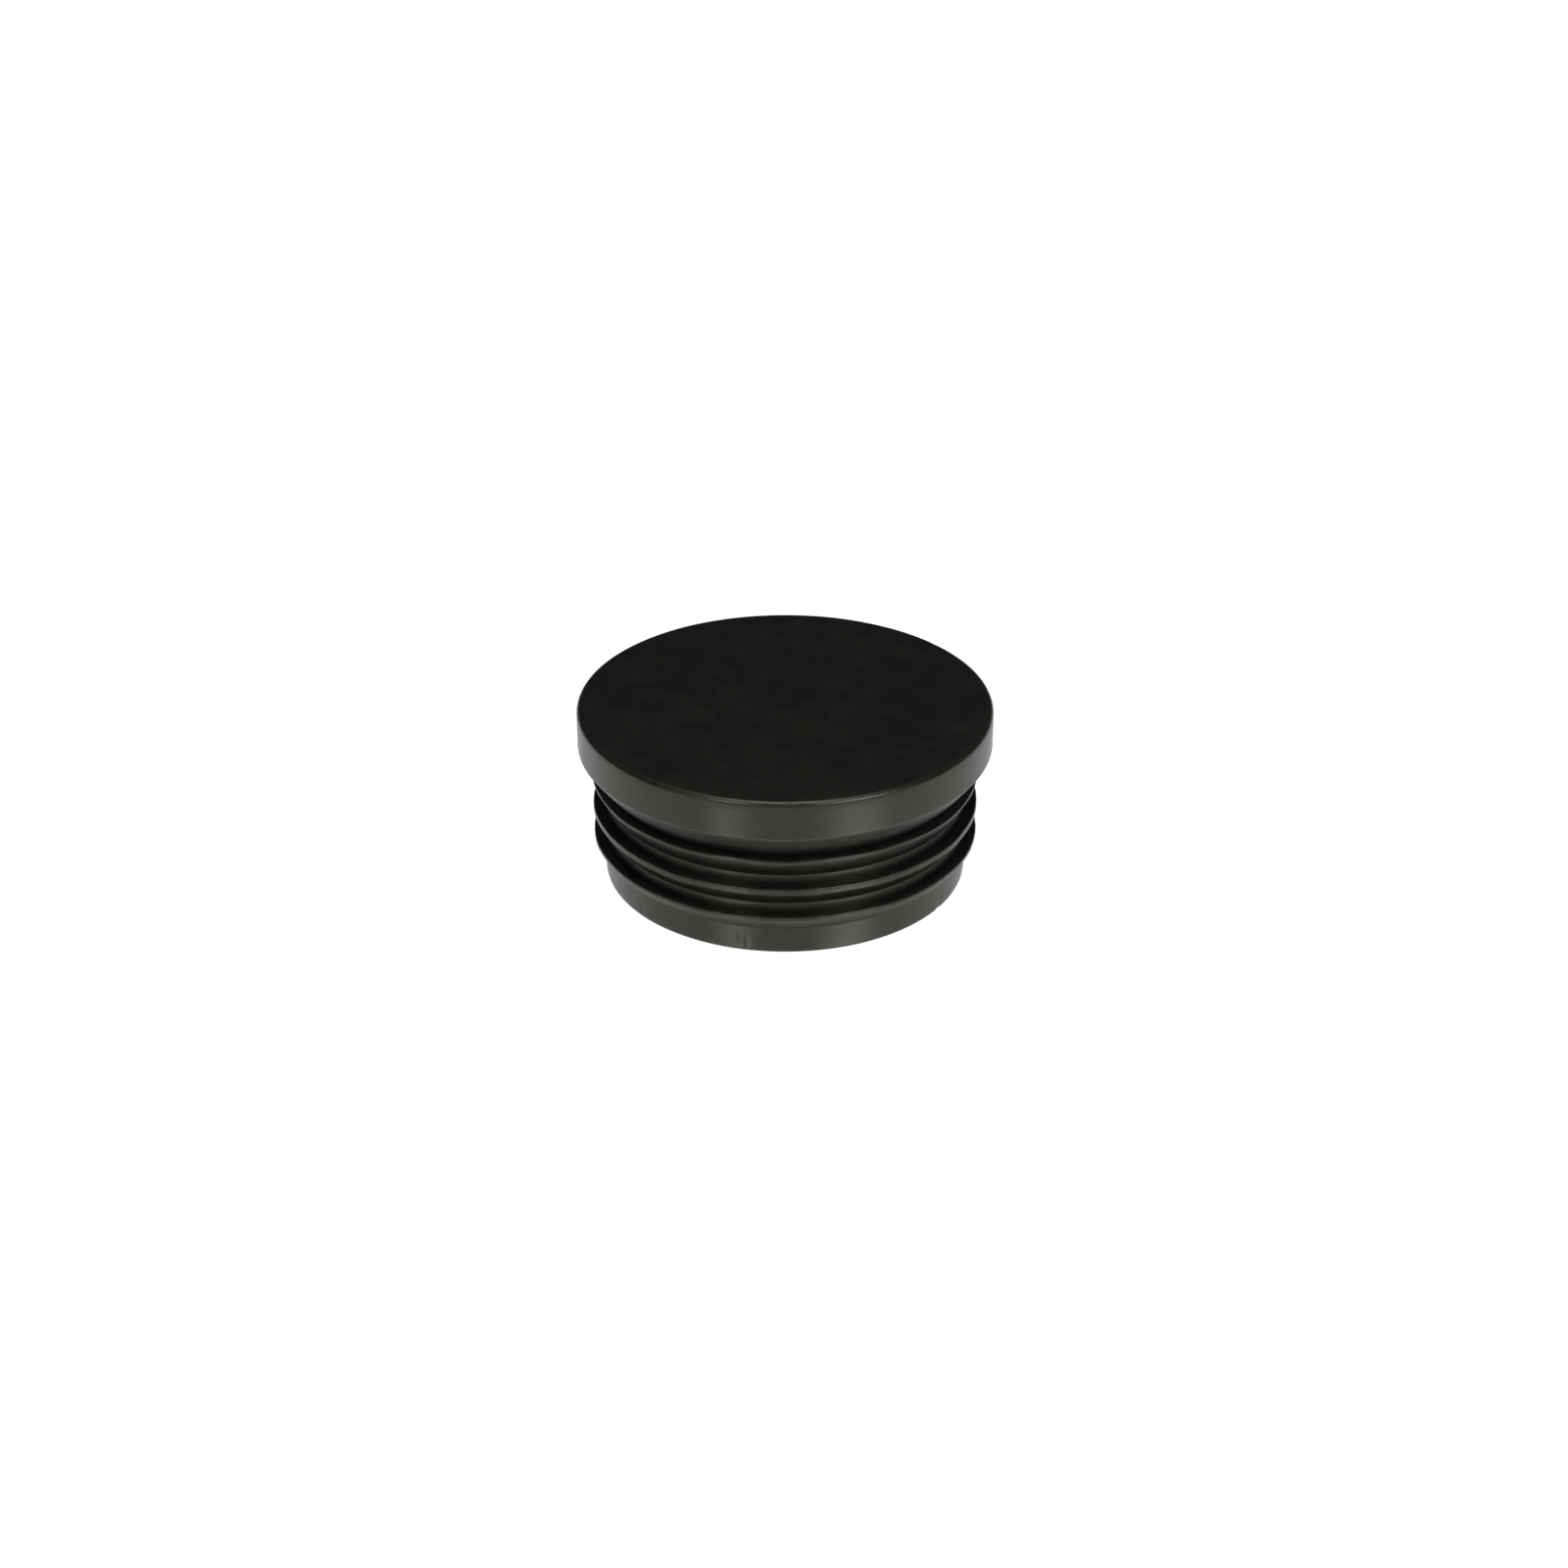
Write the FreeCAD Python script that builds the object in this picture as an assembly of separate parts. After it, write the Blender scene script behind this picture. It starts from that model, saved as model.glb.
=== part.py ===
"""Push-in pipe cap for the open end of a 60.3 mm (DN50, 2 inch) pipe.

A rigid moulded plug carries three soft grip rings. Its round head covers the pipe's end, and a cone
under the head centres it in the pipe's mouth. The hollow shank goes down the bore. Each grip ring
has a foot that sits in a groove round the shank, and a lip with a flat top and a sloping underside,
which slides into the bore easily and resists being pulled out.

Frame: millimetres, +Z up along the axis, origin at the centre of the shank's open end, which is
the end that the cap stands on. The pipe comes on from below.
"""

import math
import os

import FreeCAD
import Part

# Driving dimensions of the plug
HEIGHT = 26.0
HEAD_R = 30.0
RIM_HEIGHT = 5.7
CONE_HEIGHT = 4.3
CONE_FOOT_R = 26.6
SHANK_R = 26.3
HEAD_THICKNESS = 3.2
BORE_MOUTH_R = 23.0
BORE_DRAFT = 0.4

# Driving dimensions of the grip rings, upper, middle and lower
RING_NAMES = ("upper_grip_ring", "middle_grip_ring", "lower_grip_ring")
LIP_EDGE_HEIGHTS = (0.4, 0.9, 0.6)
LIP_UNDERSIDE_DROPS = (2.75, 2.2, 2.1)
LIP_R = 28.0
LIP_PITCH = 4.54
LOWEST_LIP_Z = 6.7
LIP_TOP_RISE = 0.15

# The foot of a ring and the groove that holds it
GROOVE_TOP_DROP = 0.45
GROOVE_BOTTOM_DROP = 2.4
GROOVE_DEPTH = 1.3
FOOT_SIDE_GAP = 0.04

# Rounded corners
HEAD_EDGE_ROUND = 0.7
RIM_EDGE_ROUND = 0.4
SHANK_END_ROUND = 0.45
BORE_MOUTH_ROUND = 0.3
BORE_CEILING_ROUND = 1.5
GROOVE_MOUTH_ROUND = 0.12
GROOVE_FLOOR_ROUND = 0.2
FOOT_ROUND = 0.3
LIP_TIP_ROUND = 0.24

# Stiffening gussets in the corner between the shank and the head, inside
GUSSETS = 8
GUSSET_THICKNESS = 1.6
GUSSET_REACH = 4.4
GUSSET_DROP = 9.0
GUSSET_TIP = 0.8
GUSSET_BITE = 0.5
GUSSET_SAG = 0.62

# Marks that moulding leaves on the ceiling of the hollow
EJECTOR_PAD_R = 1.8
EJECTOR_PAD_HEIGHT = 0.15
EJECTOR_CIRCLE_R = 16.5
GATE_DISC_R = 3.6
GATE_DISC_HEIGHT = 0.3
GATE_NUB_R = 1.1
GATE_NUB_HEIGHT = 0.9

CEILING_Z = HEIGHT - HEAD_THICKNESS
BORE_CEILING_R = BORE_MOUTH_R - BORE_DRAFT
CONE_TOP_Z = HEIGHT - RIM_HEIGHT
CONE_FOOT_Z = CONE_TOP_Z - CONE_HEIGHT
GROOVE_R = SHANK_R - GROOVE_DEPTH
LIPS_Z = [LOWEST_LIP_Z + LIP_PITCH * step for step in (2, 1, 0)]
AXIS_FOOT = FreeCAD.Vector(0, 0, 0)
AXIS = FreeCAD.Vector(0, 0, 1)


def point(r, z):
    """A point of the half section, at radius r and height z."""
    return FreeCAD.Vector(r, 0, z)


def rounded_wire(corners):
    """A closed outline through corners (r, z, rounding), each rounded by an arc of that radius."""
    places = [point(r, z) for r, z, _ in corners]
    edges = []
    starts = []
    ends = []
    for i, (_, _, rounding) in enumerate(corners):
        here = places[i]
        back = (places[i - 1] - here).normalize()
        ahead = (places[(i + 1) % len(places)] - here).normalize()
        if not rounding:
            starts.append(here)
            ends.append(here)
            continue
        half_angle = back.getAngle(ahead) / 2
        start = here + back * (rounding / math.tan(half_angle))
        end = here + ahead * (rounding / math.tan(half_angle))
        inward = (back + ahead).normalize()
        middle = here + inward * (rounding / math.sin(half_angle) - rounding)
        edges.append(Part.Arc(start, middle, end).toShape())
        starts.append(start)
        ends.append(end)
    for i, end in enumerate(ends):
        edges.append(Part.LineSegment(end, starts[(i + 1) % len(starts)]).toShape())
    return Part.Wire(Part.__sortEdges__(edges))


def turned(corners):
    """The solid that the outline through corners sweeps in a full turn about the axis."""
    solid = Part.Face(rounded_wire(corners)).revolve(AXIS_FOOT, AXIS, 360)
    return solid if solid.Volume > 0 else solid.reversed()


def groove_corners(lip_z):
    """The corners of one ring groove in the shank's outline, from the top down."""
    top = lip_z - GROOVE_TOP_DROP
    bottom = lip_z - GROOVE_BOTTOM_DROP
    return [
        (SHANK_R, top, GROOVE_MOUTH_ROUND),
        (GROOVE_R, top, GROOVE_FLOOR_ROUND),
        (GROOVE_R, bottom, GROOVE_FLOOR_ROUND),
        (SHANK_R, bottom, GROOVE_MOUTH_ROUND),
    ]


def gusset():
    """One thin web with a hollow-curved edge, from the ceiling down to the wall, on the +X side."""
    outer_r = BORE_MOUTH_R + GUSSET_BITE
    top = CEILING_Z + GUSSET_BITE
    tip = point(BORE_CEILING_R - GUSSET_REACH, CEILING_Z - GUSSET_TIP)
    toe = point(BORE_MOUTH_R - GUSSET_TIP, CEILING_Z - GUSSET_DROP)
    sag = point(tip.x + GUSSET_SAG * (toe.x - tip.x), toe.z + GUSSET_SAG * (tip.z - toe.z))
    heel = point(outer_r, toe.z - GUSSET_TIP)
    edges = [
        Part.LineSegment(point(tip.x, top), tip).toShape(),
        Part.Arc(tip, sag, toe).toShape(),
        Part.LineSegment(toe, heel).toShape(),
        Part.LineSegment(heel, point(outer_r, top)).toShape(),
        Part.LineSegment(point(outer_r, top), point(tip.x, top)).toShape(),
    ]
    web = Part.Face(Part.Wire(edges))
    web.translate(FreeCAD.Vector(0, -GUSSET_THICKNESS / 2, 0))
    return web.extrude(FreeCAD.Vector(0, GUSSET_THICKNESS, 0))


def ceiling_disc(radius, height, x=0.0):
    """A low disc that hangs from the ceiling of the hollow, x away from the axis."""
    foot = FreeCAD.Vector(x, 0, CEILING_Z - height)
    return Part.makeCylinder(radius, height + GUSSET_BITE, foot, AXIS)


def around(shape, angle):
    """A copy of shape, turned about the axis by angle, in degrees."""
    copy = shape.copy()
    copy.rotate(AXIS_FOOT, AXIS, angle)
    return copy


def plug_body():
    """The rigid moulding: head, cone, grooved shank, hollow, gussets and moulding marks."""
    outline = [
        (0, HEIGHT, 0),
        (HEAD_R, HEIGHT, HEAD_EDGE_ROUND),
        (HEAD_R, CONE_TOP_Z, RIM_EDGE_ROUND),
        (CONE_FOOT_R, CONE_FOOT_Z, 0),
        (SHANK_R, CONE_FOOT_Z, 0),
    ]
    for lip_z in LIPS_Z:
        outline += groove_corners(lip_z)
    outline += [
        (SHANK_R, 0, SHANK_END_ROUND),
        (BORE_MOUTH_R, 0, BORE_MOUTH_ROUND),
        (BORE_CEILING_R, CEILING_Z, BORE_CEILING_ROUND),
        (0, CEILING_Z, 0),
    ]
    step = 360 / GUSSETS
    pad = ceiling_disc(EJECTOR_PAD_R, EJECTOR_PAD_HEIGHT, EJECTOR_CIRCLE_R)
    added = [around(gusset(), step * i) for i in range(GUSSETS)]
    added += [around(pad, step * (i + 0.5)) for i in range(GUSSETS)]
    added.append(ceiling_disc(GATE_DISC_R, GATE_DISC_HEIGHT))
    added.append(ceiling_disc(GATE_NUB_R, GATE_NUB_HEIGHT))
    return turned(outline).fuse(added).removeSplitter()


def grip_ring(lip_z, edge_height, underside_drop):
    """One soft ring: a foot that fills its groove, and a lip whose upper outer corner is at lip_z."""
    foot_top = lip_z - GROOVE_TOP_DROP - FOOT_SIDE_GAP
    foot_bottom = lip_z - GROOVE_BOTTOM_DROP + FOOT_SIDE_GAP
    edge_foot_z = lip_z - edge_height
    return turned(
        [
            (GROOVE_R, foot_bottom, FOOT_ROUND),
            (GROOVE_R, foot_top, FOOT_ROUND),
            (SHANK_R, foot_top, 0),
            (SHANK_R, lip_z + LIP_TOP_RISE, 0),
            (LIP_R, lip_z, LIP_TIP_ROUND),
            (LIP_R, edge_foot_z, LIP_TIP_ROUND),
            (SHANK_R, edge_foot_z - underside_drop, 0),
            (SHANK_R, foot_bottom, 0),
        ]
    )


def main():
    os.makedirs("parts", exist_ok=True)
    shapes = {"plug_body": plug_body()}
    for name, *sizes in zip(RING_NAMES, LIPS_Z, LIP_EDGE_HEIGHTS, LIP_UNDERSIDE_DROPS):
        shapes[name] = grip_ring(*sizes)
    for name, shape in shapes.items():
        shape.exportStep(f"parts/{name}.step")
        box = shape.optimalBoundingBox(False)
        print(
            f"{name}: valid {shape.isValid()}, solids {len(shape.Solids)}, volume {shape.Volume:.1f} mm3,"
            f" diameter {box.XLength:.2f}, height {box.ZMin:.2f} to {box.ZMax:.2f}"
        )


main()
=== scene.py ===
"""The looks of the push-in pipe cap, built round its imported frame.

Lengths are in metres, and MM turns millimetres into them. The plug is one fine turned mesh with the
marks that moulding leaves on it, and the gussets inside are joined to it. Each grip ring is a soft
ring whose lip wavers a little. Azimuth 0 is the front, on the -Y side, where the camera stands, and
azimuths grow towards +X.
"""

import math

import bmesh
import bpy
import numpy as np
from mathutils import Matrix, Vector


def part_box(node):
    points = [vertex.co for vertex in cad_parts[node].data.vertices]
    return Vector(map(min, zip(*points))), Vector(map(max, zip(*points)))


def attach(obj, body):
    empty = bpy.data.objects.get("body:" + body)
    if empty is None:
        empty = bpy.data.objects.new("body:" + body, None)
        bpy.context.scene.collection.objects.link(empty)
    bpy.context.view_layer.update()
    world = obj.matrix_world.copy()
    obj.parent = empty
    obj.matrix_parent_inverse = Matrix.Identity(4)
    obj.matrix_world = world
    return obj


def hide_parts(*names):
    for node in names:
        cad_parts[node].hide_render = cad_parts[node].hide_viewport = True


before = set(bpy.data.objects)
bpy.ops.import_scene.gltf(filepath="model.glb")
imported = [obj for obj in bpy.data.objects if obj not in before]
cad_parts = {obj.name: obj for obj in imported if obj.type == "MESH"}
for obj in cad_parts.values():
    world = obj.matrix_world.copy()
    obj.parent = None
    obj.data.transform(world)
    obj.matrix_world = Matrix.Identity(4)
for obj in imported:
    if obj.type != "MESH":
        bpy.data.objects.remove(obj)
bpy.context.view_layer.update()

MM = 0.001

# The plug's overall size comes from the frame, and the rest of its section is given here
HEAD_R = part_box("plug_body")[1].x
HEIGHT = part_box("plug_body")[1].z
RIM_HEIGHT = 5.7 * MM
CONE_HEIGHT = 4.3 * MM
CONE_FOOT_R = 26.6 * MM
SHANK_R = 26.3 * MM
HEAD_THICKNESS = 3.2 * MM
BORE_MOUTH_R = 23.0 * MM
BORE_CEILING_R = 22.6 * MM
GROOVE_DEPTH = 1.3 * MM
GROOVE_TOP_DROP = 0.45 * MM
GROOVE_BOTTOM_DROP = 2.4 * MM
FOOT_SIDE_GAP = 0.04 * MM

# The grip rings, from the top down
RING_NODES = ("upper_grip_ring", "middle_grip_ring", "lower_grip_ring")
LIP_EDGE_HEIGHTS = (0.4 * MM, 0.9 * MM, 0.6 * MM)
LIP_UNDERSIDE_DROPS = (2.75 * MM, 2.2 * MM, 2.1 * MM)
LIP_TOP_RISE = 0.15 * MM
LIP_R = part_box(RING_NODES[0])[1].x
LIPS_Z = [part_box(node)[1].z - LIP_TOP_RISE for node in RING_NODES]

# Rounded corners
HEAD_EDGE_ROUND = 0.7 * MM
RIM_EDGE_ROUND = 0.4 * MM
SHANK_END_ROUND = 0.45 * MM
BORE_MOUTH_ROUND = 0.3 * MM
BORE_CEILING_ROUND = 1.5 * MM
GROOVE_MOUTH_ROUND = 0.12 * MM
GROOVE_FLOOR_ROUND = 0.2 * MM
FOOT_ROUND = 0.3 * MM
LIP_TIP_ROUND = 0.24 * MM

CONE_TOP_Z = HEIGHT - RIM_HEIGHT
CONE_FOOT_Z = CONE_TOP_Z - CONE_HEIGHT
CEILING_Z = HEIGHT - HEAD_THICKNESS
GROOVE_R = SHANK_R - GROOVE_DEPTH

# How fine the meshes are: roundings up to SMALL_ROUND lie hidden in the grooves and get fewer steps
AROUND = 720
ARC_STEPS = 6
SMALL_ROUND = 0.2 * MM
SMALL_ARC_STEPS = 1
PLUG_SPACING = 1.0 * MM
HOLLOW_SPACING = 4.0 * MM
RING_SPACING = 0.35 * MM
DISC_AROUND = 72
SHARP_ANGLE = math.radians(32)

# The gussets and the marks of the mould, inside
GUSSETS = 8
GUSSET_THICKNESS = 1.6 * MM
GUSSET_REACH = 4.4 * MM
GUSSET_DROP = 9.0 * MM
GUSSET_TIP = 0.8 * MM
GUSSET_HOLLOW = 1.4 * MM
GUSSET_ARC_STEPS = 14
GUSSET_EDGE_ROUND = 0.15 * MM
BITE = 0.5 * MM
PAD_R = 1.8 * MM
PAD_HEIGHT = 0.15 * MM
PAD_CIRCLE_R = 16.5 * MM
GATE_DISC_R = 3.6 * MM
GATE_DISC_HEIGHT = 0.3 * MM
GATE_NUB_R = 1.1 * MM
GATE_NUB_HEIGHT = 0.9 * MM

# How far the moulded surfaces stray from true
HEAD_WAVE = 0.025 * MM
HEAD_DISH = 0.05 * MM
SINK_DEPTH = 0.006 * MM
SINK_WIDTH = 1.6 * MM
PARTING_AZIMUTH = math.radians(97)
PARTING_RISE = 0.04 * MM
LIP_LIFT = 0.06 * MM
LIP_PULL = 0.07 * MM
LIP_FRAY = 0.012 * MM
LIP_EDGE_WAVE = 0.05 * MM
HEAD_WAVE_SEED = 11
TOP_EDGE_SEED = 12
RING_SEED_STEP = 100

# Dents on the outside: azimuth in degrees, radius, height, width and depth
DENTS = (
    (0.8, HEAD_R, 25.8 * MM, 0.45 * MM, 0.16 * MM),
    (3.4, HEAD_R, 25.8 * MM, 0.8 * MM, 0.07 * MM),
    (-38.0, HEAD_R, 25.7 * MM, 0.7 * MM, 0.06 * MM),
    (131.0, HEAD_R, 25.8 * MM, 0.6 * MM, 0.1 * MM),
    (-104.0, HEAD_R, 20.8 * MM, 0.8 * MM, 0.1 * MM),
    (-51.0, SHANK_R, 1.6 * MM, 0.5 * MM, 0.12 * MM),
    (-14.0, SHANK_R, 2.3 * MM, 0.6 * MM, 0.1 * MM),
    (-11.8, SHANK_R, 1.4 * MM, 0.5 * MM, 0.12 * MM),
    (57.0, SHANK_R, 0.3 * MM, 0.9 * MM, 0.1 * MM),
    (168.0, SHANK_R, 2.0 * MM, 0.7 * MM, 0.1 * MM),
)

# Edges that handling has rubbed, as circles (r, z), and how wide the rubbed band is
PLUG_RUBS = ((HEAD_R, HEIGHT), (SHANK_R, 0), (BORE_MOUTH_R, 0))
RUB_WIDTH = 0.9 * MM

# The camera looks along +Y and down, from in front
CAMERA_DISTANCE = 450 * MM
CAMERA_ELEVATION = math.radians(28.55)
CAMERA_AIM = Vector((-0.15 * MM, 0, 12.71 * MM))
CAMERA_LENS = 70.8
CAMERA_SENSOR = 36

# The light: two softboxes in front and one overhead, all at one distance and turned to the part,
# as (name, azimuth, elevation, width, height, watts)
SOFTBOXES = (
    ("key_softbox", 40, 34, 0.4, 0.35, 5.5),
    ("fill_softbox", -32, 34, 0.12, 0.35, 3.1),
    ("top_softbox", 180, 87, 0.5, 0.5, 5.8),
)
LIGHT_DISTANCE = 1.0
LIGHT_AIM = Vector((0, 0, 10 * MM))
FLOOR_SIZE = 60.0
FLOOR_Z = -0.05 * MM
FLOOR_GREY = 0.15
FLOOR_GLOW = 1.0
FLOOR_ROUGHNESS = 0.075
FLOOR_IOR = 2.0
ROOM_GREY = 0.015

# The sheen that both materials share
SPECULAR_LEVEL = 0.415
SPECULAR_TINT = (1.0, 1.0, 0.82, 1)


def rounded(corners):
    """The outline through corners (r, z, rounding), with each rounding as a short arc of points."""
    points = []
    for i, (r, z, rounding) in enumerate(corners):
        here = np.array((r, z))
        if not rounding:
            points.append(here)
            continue
        back = np.array(corners[i - 1][:2]) - here
        ahead = np.array(corners[(i + 1) % len(corners)][:2]) - here
        back /= np.linalg.norm(back)
        ahead /= np.linalg.norm(ahead)
        half_angle = math.acos(np.clip(back @ ahead, -1, 1)) / 2
        inward = (back + ahead) / np.linalg.norm(back + ahead)
        centre = here + inward * rounding / math.sin(half_angle)
        start = here + back * rounding / math.tan(half_angle) - centre
        turn = math.copysign(math.pi - 2 * half_angle, back[1] * ahead[0] - back[0] * ahead[1])
        steps = ARC_STEPS if rounding > SMALL_ROUND else SMALL_ARC_STEPS
        for step in range(steps + 1):
            angle = turn * step / steps
            cosine, sine = math.cos(angle), math.sin(angle)
            points.append(centre + (start[0] * cosine - start[1] * sine, start[0] * sine + start[1] * cosine))
    return points


def filled(points, spacing, closed):
    """The same outline with points added, so that none are further apart than spacing."""
    dense = []
    for i, here in enumerate(points):
        dense.append(here)
        if i + 1 == len(points) and not closed:
            break
        ahead = points[(i + 1) % len(points)]
        parts = math.ceil(np.linalg.norm(ahead - here) / spacing)
        dense += [here + (ahead - here) * part / parts for part in range(1, parts)]
    return dense


def harmonics(azimuth, seed, lowest, highest):
    """A smooth random wave round the axis, mostly between -1 and 1, with that range of periods."""
    numbers = np.random.default_rng(seed)
    total = np.zeros_like(azimuth)
    for count in range(lowest, highest + 1):
        total += numbers.normal() * np.cos(count * azimuth + numbers.uniform(0, 2 * math.pi))
    return np.clip(total / (1.8 * math.sqrt(0.5 * (highest - lowest + 1))), -1, 1)


def near_parting(azimuth):
    """1 at the row of points on either parting line, and 0 elsewhere."""
    from_front = np.abs((azimuth + math.pi) % (2 * math.pi) - math.pi)
    return np.abs(from_front - PARTING_AZIMUTH) < math.pi / AROUND


def step_up(value, low, high):
    """0 below low, 1 above high and smooth between them."""
    share = np.clip((value - low) / (high - low), 0, 1)
    return share * share * (3 - 2 * share)


def link(name, mesh):
    """A mesh object in the scene."""
    made = bpy.data.objects.new(name, mesh)
    bpy.context.scene.collection.objects.link(made)
    return made


def finished_mesh(name, work):
    """The mesh data of a bmesh whose faces are turned outwards."""
    bmesh.ops.recalc_face_normals(work, faces=work.faces)
    mesh = bpy.data.meshes.new(name)
    work.to_mesh(mesh)
    work.free()
    return mesh


def turned(name, outline, closed, stray):
    """A mesh object: outline turned round the axis, with its points moved by stray(azimuth, r, z)."""
    azimuth = np.arange(AROUND) * 2 * math.pi / AROUND
    rows = []
    places = []
    for r, z in outline:
        if r < 1e-9:
            _, moved_z = stray(np.zeros(1), np.zeros(1), np.full(1, z))
            rows.append([len(places)] * AROUND)
            places.append((0.0, 0.0, moved_z[0]))
            continue
        moved_r, moved_z = stray(azimuth, np.full(AROUND, r), np.full(AROUND, z))
        rows.append(list(range(len(places), len(places) + AROUND)))
        places += list(zip(moved_r * np.sin(azimuth), -moved_r * np.cos(azimuth), moved_z))
    if closed:
        rows.append(rows[0])
    faces = []
    for upper, lower in zip(rows, rows[1:]):
        for i in range(AROUND):
            corners = (upper[i - 1], lower[i - 1], lower[i], upper[i])
            faces.append(tuple(dict.fromkeys(corners)))
    mesh = bpy.data.meshes.new(name)
    mesh.from_pydata(places, [], faces)
    work = bmesh.new()
    work.from_mesh(mesh)
    return link(name, finished_mesh(name, work))


def plug_section():
    """The plug's half section, from the middle of its top round to the middle of its ceiling."""
    corners = [
        (0, HEIGHT, 0),
        (HEAD_R, HEIGHT, HEAD_EDGE_ROUND),
        (HEAD_R, CONE_TOP_Z, RIM_EDGE_ROUND),
        (CONE_FOOT_R, CONE_FOOT_Z, 0),
        (SHANK_R, CONE_FOOT_Z, 0),
    ]
    for lip_z in LIPS_Z:
        top = lip_z - GROOVE_TOP_DROP
        bottom = lip_z - GROOVE_BOTTOM_DROP
        corners += [
            (SHANK_R, top, GROOVE_MOUTH_ROUND),
            (GROOVE_R, top, GROOVE_FLOOR_ROUND),
            (GROOVE_R, bottom, GROOVE_FLOOR_ROUND),
            (SHANK_R, bottom, GROOVE_MOUTH_ROUND),
        ]
    corners += [
        (SHANK_R, 0, SHANK_END_ROUND),
        (BORE_MOUTH_R, 0, BORE_MOUTH_ROUND),
        (BORE_CEILING_R, CEILING_Z, BORE_CEILING_ROUND),
        (0, CEILING_Z, 0),
    ]
    points = rounded(corners)
    mouth = max(i for i, (_, z) in enumerate(points) if z < 1e-9)
    outside = filled(points[: mouth + 1], PLUG_SPACING, closed=False)
    return outside + filled(points[mouth:], HOLLOW_SPACING, closed=False)[1:]


def plug_stray(azimuth, r, z):
    """Where moulding leaves a point of the plug: a wavering head, a dished top and faint sinks."""
    on_head = step_up(z, CONE_FOOT_Z, CONE_TOP_Z) * step_up(r, 0.8 * HEAD_R, HEAD_R)
    wave = HEAD_WAVE * (0.5 + 0.5 * harmonics(azimuth, HEAD_WAVE_SEED, 2, 14))
    on_top = step_up(z, HEIGHT - 1.0 * MM, HEIGHT)
    dish = HEAD_DISH * (1 - np.minimum(r / (0.9 * HEAD_R), 1) ** 2)
    aside = ((azimuth * GUSSETS / (2 * math.pi) + 0.5) % 1 - 0.5) * 2 * math.pi / GUSSETS * r
    along = step_up(r, 0.55 * HEAD_R, 0.65 * HEAD_R) * (1 - step_up(r, 0.76 * HEAD_R, 0.86 * HEAD_R))
    sink = SINK_DEPTH * np.exp(-((aside / SINK_WIDTH) ** 2)) * along
    edge_wave = 0.5 + 0.5 * harmonics(azimuth, TOP_EDGE_SEED, 2, 18)
    edge = HEAD_WAVE * step_up(r, 0.8 * HEAD_R, HEAD_R) * edge_wave
    on_wall = step_up(r, 0.98 * SHANK_R, SHANK_R) * (1 - step_up(z, HEIGHT - 0.8 * MM, HEIGHT - 0.5 * MM))
    parting = PARTING_RISE * on_wall * near_parting(azimuth)
    return r - on_head * wave + parting, z - on_top * (dish + sink + edge)


def gusset(turn):
    """A thin web with a hollow-curved edge, from the ceiling down to the wall, turned into place."""
    tip = np.array((BORE_CEILING_R - GUSSET_REACH, CEILING_Z - GUSSET_TIP))
    toe = np.array((BORE_MOUTH_R - GUSSET_TIP, CEILING_Z - GUSSET_DROP))
    chord = toe - tip
    hollow = np.array((-chord[1], chord[0])) / np.linalg.norm(chord) * GUSSET_HOLLOW
    shares = np.linspace(0, 1, GUSSET_ARC_STEPS + 1)
    curve = [tip + chord * share + hollow * 4 * share * (1 - share) for share in shares]
    outer = BORE_MOUTH_R + BITE
    top = CEILING_Z + BITE
    corners = [(tip[0], top), *curve, (outer, toe[1] - GUSSET_TIP), (outer, top)]
    work = bmesh.new()
    near = [work.verts.new((x, -GUSSET_THICKNESS / 2, z)) for x, z in corners]
    far = [work.verts.new((x, GUSSET_THICKNESS / 2, z)) for x, z in corners]
    work.faces.new(near)
    work.faces.new(far[::-1])
    for i in range(len(corners)):
        work.faces.new((near[i - 1], near[i], far[i], far[i - 1]))
    bmesh.ops.recalc_face_normals(work, faces=work.faces)
    long_edges = [edge for edge in work.edges if edge.calc_face_angle() > math.radians(60)]
    bmesh.ops.bevel(work, geom=long_edges, offset=GUSSET_EDGE_ROUND, segments=2, profile=0.5, affect="EDGES")
    bmesh.ops.rotate(work, verts=work.verts, matrix=Matrix.Rotation(turn, 3, "Z"))
    return link("gusset", finished_mesh("gusset", work))


def ceiling_disc(radius, height, out=0.0, turn=0.0):
    """A low disc that hangs from the ceiling of the hollow, out from the axis and turned round it."""
    work = bmesh.new()
    place = Vector((out, 0, CEILING_Z + (BITE - height) / 2))
    bmesh.ops.create_cone(
        work,
        cap_ends=True,
        segments=DISC_AROUND,
        radius1=radius,
        radius2=radius,
        depth=height + BITE,
        matrix=Matrix.Rotation(turn, 4, "Z") @ Matrix.Translation(place),
    )
    return link("disc", finished_mesh("disc", work))


def joined(made, others):
    """Joins closed meshes to a closed mesh, as one skin with nothing left inside it."""
    for other in others:
        union = made.modifiers.new("union", "BOOLEAN")
        union.operation = "UNION"
        union.solver = "MANIFOLD"
        union.object = other
        bpy.context.view_layer.update()
        mesh = bpy.data.meshes.new_from_object(made.evaluated_get(bpy.context.evaluated_depsgraph_get()))
        made.modifiers.clear()
        made.data = mesh
        bpy.data.objects.remove(other)
    return made


def vertex_places(mesh):
    """The places of a mesh's vertices, as an array."""
    places = np.empty(len(mesh.vertices) * 3, np.float32)
    mesh.vertices.foreach_get("co", places)
    return places.reshape(-1, 3).astype(float)


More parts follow.
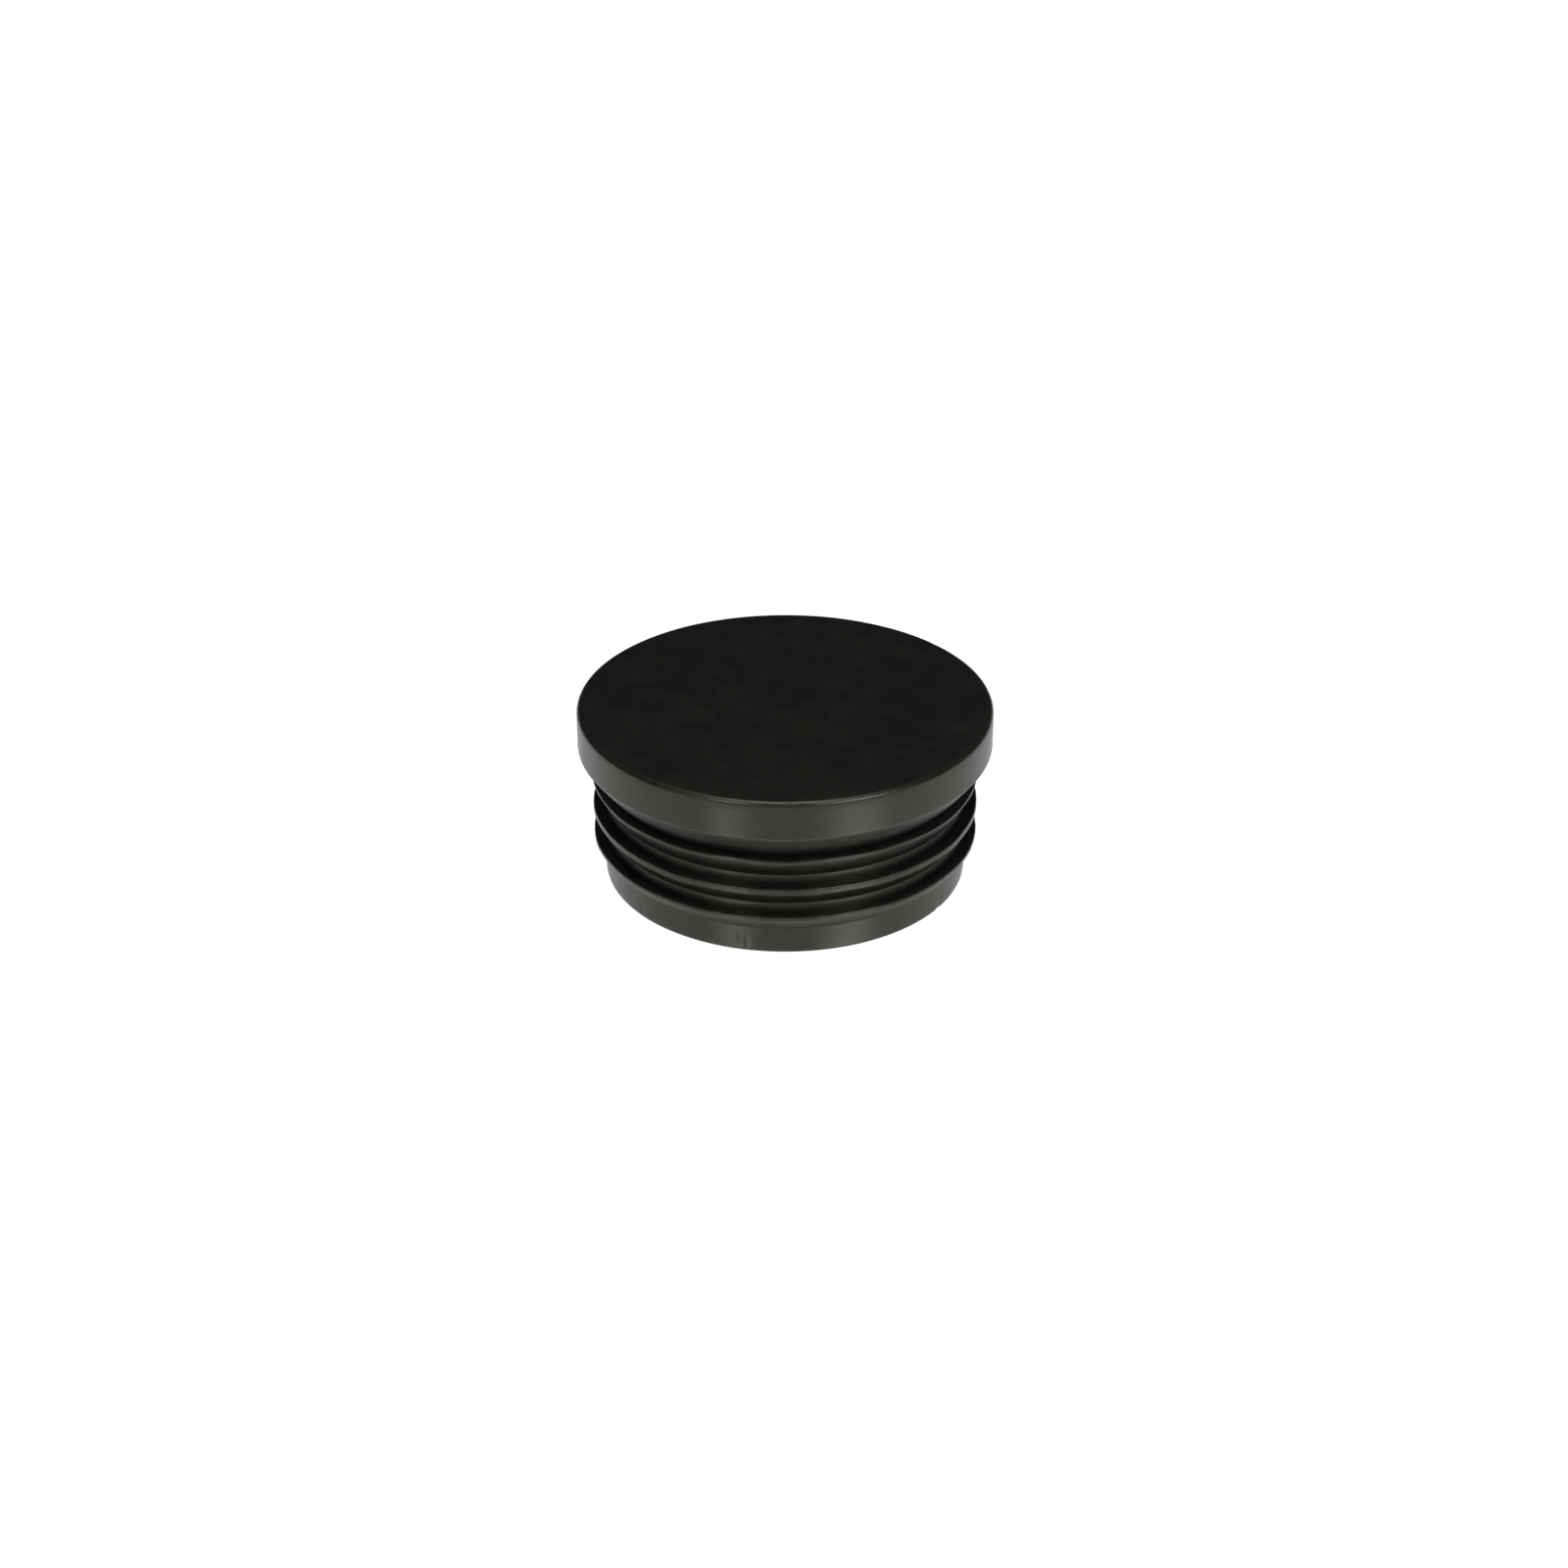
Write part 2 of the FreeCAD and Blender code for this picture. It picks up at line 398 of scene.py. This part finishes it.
def dented(mesh):
    """Presses the dents into a mesh, each one towards the middle of the part."""
    places = vertex_places(mesh)
    for azimuth, r, z, width, depth in DENTS:
        turn = math.radians(azimuth)
        centre = np.array((r * math.sin(turn), -r * math.cos(turn), z))
        inward = np.array((0, 0, HEIGHT / 2)) - centre
        distance = np.linalg.norm(places - centre, axis=1)
        press = depth * np.clip(1 - (distance / width) ** 2, 0, 1) ** 2
        places += press[:, None] * inward / np.linalg.norm(inward)
    mesh.vertices.foreach_set("co", places.astype(np.float32).ravel())
    mesh.update()


def mark_rubbed(mesh, circles):
    """Stores how near each vertex is to a rubbed edge, from 0 to 1, for the material to read."""
    places = vertex_places(mesh)
    r = np.hypot(places[:, 0], places[:, 1])
    nearest = np.min([np.hypot(r - circle_r, places[:, 2] - z) for circle_r, z in circles], axis=0)
    rubbed = mesh.attributes.new("rubbed", "FLOAT", "POINT")
    rubbed.data.foreach_set("value", (1 - step_up(nearest, 0, RUB_WIDTH)).astype(np.float32))


def shade(mesh, material):
    """Shades a mesh smooth, apart from its sharp edges, and gives it its material."""
    mesh.shade_smooth()
    mesh.set_sharp_from_angle(angle=SHARP_ANGLE)
    mesh.materials.clear()
    mesh.materials.append(material)


def build_plug(material):
    """The rigid moulding, with its gussets, ejector pads and gate mark."""
    plug = turned("plug_moulding", plug_section(), False, plug_stray)
    step = 2 * math.pi / GUSSETS
    added = [gusset(step * i) for i in range(GUSSETS)]
    added += [ceiling_disc(PAD_R, PAD_HEIGHT, PAD_CIRCLE_R, step * (i + 0.5)) for i in range(GUSSETS)]
    added.append(ceiling_disc(GATE_DISC_R, GATE_DISC_HEIGHT))
    added.append(ceiling_disc(GATE_NUB_R, GATE_NUB_HEIGHT))
    joined(plug, added)
    plug.data.name = plug.name
    dented(plug.data)
    mark_rubbed(plug.data, PLUG_RUBS)
    shade(plug.data, material)
    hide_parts("plug_body")
    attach(plug, "root")


def ring_section(lip_z, edge_height, underside_drop):
    """A ring's section: the foot in its groove, and the lip with its flat top and sloping underside."""
    foot_top = lip_z - GROOVE_TOP_DROP - FOOT_SIDE_GAP
    foot_bottom = lip_z - GROOVE_BOTTOM_DROP + FOOT_SIDE_GAP
    edge_foot_z = lip_z - edge_height
    corners = [
        (GROOVE_R, foot_bottom, FOOT_ROUND),
        (GROOVE_R, foot_top, FOOT_ROUND),
        (SHANK_R, foot_top, 0),
        (SHANK_R, lip_z + LIP_TOP_RISE, 0),
        (LIP_R, lip_z, LIP_TIP_ROUND),
        (LIP_R, edge_foot_z, LIP_TIP_ROUND),
        (SHANK_R, edge_foot_z - underside_drop, 0),
        (SHANK_R, foot_bottom, 0),
    ]
    return filled(rounded(corners), RING_SPACING, closed=True)


def ring_stray(lip_z, edge_height, seed):
    """The function that makes one ring's lip waver, more and more from its root to its edge."""

    def stray(azimuth, r, z):
        outward = step_up(r, SHANK_R, LIP_R)
        pull = LIP_PULL * (0.5 + 0.5 * harmonics(azimuth, seed, 3, 22))
        fray = LIP_FRAY * (1 + harmonics(azimuth, seed + 1, 50, 110))
        lift = LIP_LIFT * harmonics(azimuth, seed + 2, 2, 16)
        below = 1 - step_up(z, lip_z - edge_height, lip_z)
        edge = LIP_EDGE_WAVE * harmonics(azimuth, seed + 3, 6, 40) * below
        return r - outward * (pull + fray), z + outward * (lift + edge)

    return stray


def build_ring(node, lip_z, edge_height, underside_drop, seed, material):
    """One soft grip ring."""
    section = ring_section(lip_z, edge_height, underside_drop)
    ring = turned(node.replace("_ring", "_lip_ring"), section, True, ring_stray(lip_z, edge_height, seed))
    mark_rubbed(ring.data, ((LIP_R, lip_z), (LIP_R, lip_z - edge_height)))
    shade(ring.data, material)
    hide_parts(node)
    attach(ring, "root")


class Nodes:
    """A small helper that adds shader nodes to a new material."""

    def __init__(self, name):
        self.material = bpy.data.materials.new(name)
        self.material.use_nodes = True
        self.tree = self.material.node_tree
        self.shader = self.tree.nodes["Principled BSDF"]
        self.places = self.add("TexCoord").outputs["Object"]

    def add(self, kind, sockets=None, **settings):
        """A new node, with its settings, and its sockets either linked or given a value."""
        node = self.tree.nodes.new("ShaderNode" + kind)
        for name, value in settings.items():
            setattr(node, name, value)
        for name, value in (sockets or {}).items():
            self.put(node.inputs[name], value)
        return node

    def put(self, socket, value):
        """Links a socket to another, or sets its value."""
        if isinstance(value, bpy.types.NodeSocket):
            self.tree.links.new(value, socket)
        else:
            socket.default_value = value

    def noise(self, period, detail=2.0, stretch=(1, 1, 1)):
        """Noise from 0 to 1 whose features are about period across, stretched along each axis."""
        scale = tuple(1 / (period * share) for share in stretch)
        spread = self.add("VectorMath", {0: self.places, 1: scale}, operation="MULTIPLY")
        return self.add("TexNoise", {"Vector": spread.outputs[0], "Scale": 1.0, "Detail": detail}).outputs[0]

    def ramp(self, value, low, high, start=0.0, end=1.0):
        """Turns the range low to high of value into start to end, smoothly and with no overshoot."""
        sockets = {"Value": value, "From Min": low, "From Max": high, "To Min": start, "To Max": end}
        return self.add("MapRange", sockets, interpolation_type="SMOOTHSTEP").outputs["Result"]

    def math(self, operation, first, second):
        """One step of arithmetic."""
        return self.add("Math", {0: first, 1: second}, operation=operation).outputs[0]

    def mix(self, share, first, second):
        """A blend of two colours."""
        node = self.add("Mix", {0: share}, data_type="RGBA")
        self.put(node.inputs[6], first)
        self.put(node.inputs[7], second)
        return node.outputs[2]

    def bump(self, height, depth, normal=None):
        """A bump whose height of 0 to 1 stands for depth."""
        sockets = {"Height": height, "Distance": depth, "Strength": 1.0}
        if normal is not None:
            sockets["Normal"] = normal
        return self.add("Bump", sockets).outputs[0]

    def rubbed(self):
        """How rubbed the surface is, from 0 to 1, in patches along the marked edges."""
        near = self.add("Attribute", attribute_name="rubbed", attribute_type="GEOMETRY").outputs["Fac"]
        patches = self.ramp(self.noise(2.2 * MM, 3.0), 0.35, 0.65, 0.25, 1.0)
        return self.math("MULTIPLY", near, patches)

    def specks(self, period, size, share):
        """Small round specks, one in some of the cells of a random grid."""
        spread = self.add("VectorMath", {0: self.places, 1: (1 / period,) * 3}, operation="MULTIPLY")
        cells = self.add("TexVoronoi", {"Vector": spread.outputs[0], "Scale": 1.0})
        spot = self.ramp(cells.outputs["Distance"], 0.5 * size / period, size / period, 1.0, 0.0)
        tint = self.add("SeparateColor", {0: cells.outputs["Color"]}).outputs[0]
        chosen = self.math("LESS_THAN", tint, share)
        return self.math("MULTIPLY", spot, chosen)

    def scratches(self, turn, length, width, low, high):
        """Long thin marks, slightly curved, that run across the top at that turn from X."""
        bend = self.add("TexNoise", {"Vector": self.places, "Scale": 1 / (16 * MM), "Detail": 0.0}).outputs[1]
        push = self.add("VectorMath", {0: bend, 1: (3 * MM,) * 3}, operation="MULTIPLY").outputs[0]
        bent = self.add("VectorMath", {0: self.places, 1: push}, operation="ADD").outputs[0]
        sockets = {"Vector": bent, "Rotation": (0, 0, turn), "Scale": (length, width, 4 * length)}
        along = self.add("Mapping", sockets, vector_type="TEXTURE").outputs[0]
        marks = self.add("TexNoise", {"Vector": along, "Scale": 1.0, "Detail": 1.0}).outputs[0]
        return self.ramp(marks, low, high)


def plastic():
    """Satin black moulded plastic: a fine pebbled grain, mottled sheen, draw marks, scuffs and specks."""
    nodes = Nodes("black_plastic")
    mottle = nodes.ramp(nodes.noise(4.0 * MM, 5.0), 0.3, 0.7)
    patches = nodes.ramp(nodes.noise(15.0 * MM, 2.0), 0.35, 0.65)
    grain = nodes.noise(0.3 * MM, 2.0)
    swell = nodes.noise(3.5 * MM, 1.0)
    draw_marks = nodes.noise(0.55 * MM, 3.0, (1, 1, 30))
    drawn = nodes.ramp(draw_marks, 0.35, 0.75)
    scuffs = nodes.scratches(0.4, 9 * MM, 0.16 * MM, 0.7, 0.78)
    for turn in (1.5, 2.3, 2.9):
        more = nodes.scratches(turn, 7 * MM, 0.14 * MM, 0.7, 0.78)
        scuffs = nodes.math("MAXIMUM", scuffs, more)
    rubbed = nodes.rubbed()
    specks = nodes.specks(2.6 * MM, 0.09 * MM, 0.14)

    base = nodes.mix(mottle, (0.005, 0.005, 0.0044, 1), (0.0068, 0.0068, 0.006, 1))
    base = nodes.mix(nodes.math("MULTIPLY", rubbed, 0.5), base, (0.015, 0.015, 0.013, 1))
    base = nodes.mix(nodes.math("MULTIPLY", scuffs, 0.3), base, (0.022, 0.022, 0.02, 1))
    base = nodes.mix(nodes.math("MULTIPLY", specks, 0.7), base, (0.1, 0.1, 0.092, 1))

    roughness = nodes.ramp(patches, 0.0, 1.0, 0.325, 0.35)
    roughness = nodes.math("ADD", roughness, nodes.ramp(mottle, 0.0, 1.0, -0.015, 0.015))
    roughness = nodes.math("ADD", roughness, nodes.math("MULTIPLY", drawn, 0.03))
    roughness = nodes.math("SUBTRACT", roughness, nodes.math("MULTIPLY", rubbed, 0.05))

    normal = nodes.bump(swell, 0.01 * MM)
    normal = nodes.bump(draw_marks, 0.003 * MM, normal)
    normal = nodes.bump(grain, 0.012 * MM, normal)
    normal = nodes.bump(scuffs, -0.004 * MM, normal)

    nodes.put(nodes.shader.inputs["Base Color"], base)
    nodes.put(nodes.shader.inputs["Roughness"], roughness)
    nodes.put(nodes.shader.inputs["Normal"], normal)
    nodes.shader.inputs["Specular IOR Level"].default_value = SPECULAR_LEVEL
    nodes.shader.inputs["Specular Tint"].default_value = SPECULAR_TINT
    return nodes.material


def elastomer():
    """Soft black elastomer: a finer grain, flow lines round the ring, a faint bloom and dust."""
    nodes = Nodes("black_elastomer")
    mottle = nodes.ramp(nodes.noise(3.5 * MM, 4.0), 0.3, 0.7)
    grain = nodes.noise(0.2 * MM, 3.0)
    swell = nodes.noise(2.2 * MM, 1.0)
    flow = nodes.noise(0.3 * MM, 2.0, (25, 25, 1))
    rubbed = nodes.rubbed()
    specks = nodes.specks(2.0 * MM, 0.08 * MM, 0.16)

    base = nodes.mix(mottle, (0.0042, 0.0042, 0.0037, 1), (0.0062, 0.0062, 0.0054, 1))
    base = nodes.mix(nodes.math("MULTIPLY", rubbed, 0.5), base, (0.014, 0.014, 0.012, 1))
    base = nodes.mix(nodes.math("MULTIPLY", specks, 0.6), base, (0.09, 0.09, 0.08, 1))

    roughness = nodes.ramp(mottle, 0.0, 1.0, 0.31, 0.36)
    roughness = nodes.math("ADD", roughness, nodes.ramp(flow, 0.35, 0.65, -0.02, 0.02))

    normal = nodes.bump(swell, 0.012 * MM)
    normal = nodes.bump(flow, 0.004 * MM, normal)
    normal = nodes.bump(grain, 0.008 * MM, normal)

    nodes.put(nodes.shader.inputs["Base Color"], base)
    nodes.put(nodes.shader.inputs["Roughness"], roughness)
    nodes.put(nodes.shader.inputs["Normal"], normal)
    nodes.shader.inputs["Specular IOR Level"].default_value = SPECULAR_LEVEL
    nodes.shader.inputs["Specular Tint"].default_value = SPECULAR_TINT
    return nodes.material


def around_origin(azimuth, elevation, distance):
    """The place at that distance from the origin, azimuth round from the front and elevation up."""
    turn, lift = math.radians(azimuth), math.radians(elevation)
    flat = distance * math.cos(lift)
    return Vector((flat * math.sin(turn), -flat * math.cos(turn), distance * math.sin(lift)))


def add_camera():
    """The camera, in front and above."""
    camera = bpy.data.objects.new("camera", bpy.data.cameras.new("camera"))
    camera.data.lens = CAMERA_LENS
    camera.data.sensor_width = CAMERA_SENSOR
    camera.data.clip_start = 0.01
    back = Vector((0, -math.cos(CAMERA_ELEVATION), math.sin(CAMERA_ELEVATION)))
    camera.location = CAMERA_AIM + back * CAMERA_DISTANCE
    camera.rotation_euler = (math.pi / 2 - CAMERA_ELEVATION, 0, 0)
    bpy.context.scene.collection.objects.link(camera)
    bpy.context.scene.camera = camera


def add_softboxes():
    """The softboxes."""
    for name, azimuth, elevation, width, height, watts in SOFTBOXES:
        lamp = bpy.data.objects.new(name, bpy.data.lights.new(name, "AREA"))
        lamp.data.shape = "RECTANGLE"
        lamp.data.size = width
        lamp.data.size_y = height
        lamp.data.energy = watts
        lamp.location = around_origin(azimuth, elevation, LIGHT_DISTANCE)
        lamp.rotation_euler = (LIGHT_AIM - lamp.location).to_track_quat("-Z", "Y").to_euler()
        bpy.context.scene.collection.objects.link(lamp)


def add_floor():
    """The plain white floor, which glows as a light table does and isn't seen from below."""
    nodes = Nodes("white_floor")
    nodes.shader.inputs["Base Color"].default_value = (FLOOR_GREY, FLOOR_GREY, FLOOR_GREY, 1)
    nodes.shader.inputs["Roughness"].default_value = FLOOR_ROUGHNESS
    nodes.shader.inputs["IOR"].default_value = FLOOR_IOR
    nodes.shader.inputs["Specular IOR Level"].default_value = 1.0
    nodes.shader.inputs["Emission Color"].default_value = (1, 1, 1, 1)
    nodes.shader.inputs["Emission Strength"].default_value = FLOOR_GLOW
    from_below = nodes.add("NewGeometry").outputs["Backfacing"]
    clear = nodes.add("BsdfTransparent").outputs[0]
    two_sided = nodes.add("MixShader", {0: from_below, 1: nodes.shader.outputs[0], 2: clear})
    nodes.put(nodes.tree.nodes["Material Output"].inputs["Surface"], two_sided.outputs[0])
    work = bmesh.new()
    bmesh.ops.create_grid(work, x_segments=1, y_segments=1, size=FLOOR_SIZE / 2)
    bmesh.ops.translate(work, verts=work.verts, vec=(0, 0, FLOOR_Z))
    mesh = bpy.data.meshes.new("floor")
    work.to_mesh(mesh)
    work.free()
    mesh.materials.append(nodes.material)
    link("floor", mesh)


def add_room():
    """A dark room that the camera sees as white."""
    room = bpy.data.worlds.new("room")
    room.use_nodes = True
    tree = room.node_tree
    seen = tree.nodes.new("ShaderNodeLightPath").outputs["Is Camera Ray"]
    glow = tree.nodes.new("ShaderNodeMapRange")
    glow.inputs["To Min"].default_value = ROOM_GREY
    tree.links.new(seen, glow.inputs["Value"])
    tree.links.new(glow.outputs["Result"], tree.nodes["Background"].inputs["Strength"])
    tree.nodes["Background"].inputs["Color"].default_value = (1, 1, 1, 1)
    bpy.context.scene.world = room
    bpy.context.scene.view_settings.view_transform = "Standard"


add_camera()
add_softboxes()
add_floor()
add_room()
build_plug(plastic())
ring_material = elastomer()
for number, ring in enumerate(zip(RING_NODES, LIPS_Z, LIP_EDGE_HEIGHTS, LIP_UNDERSIDE_DROPS)):
    build_ring(*ring, RING_SEED_STEP * (number + 1), ring_material)
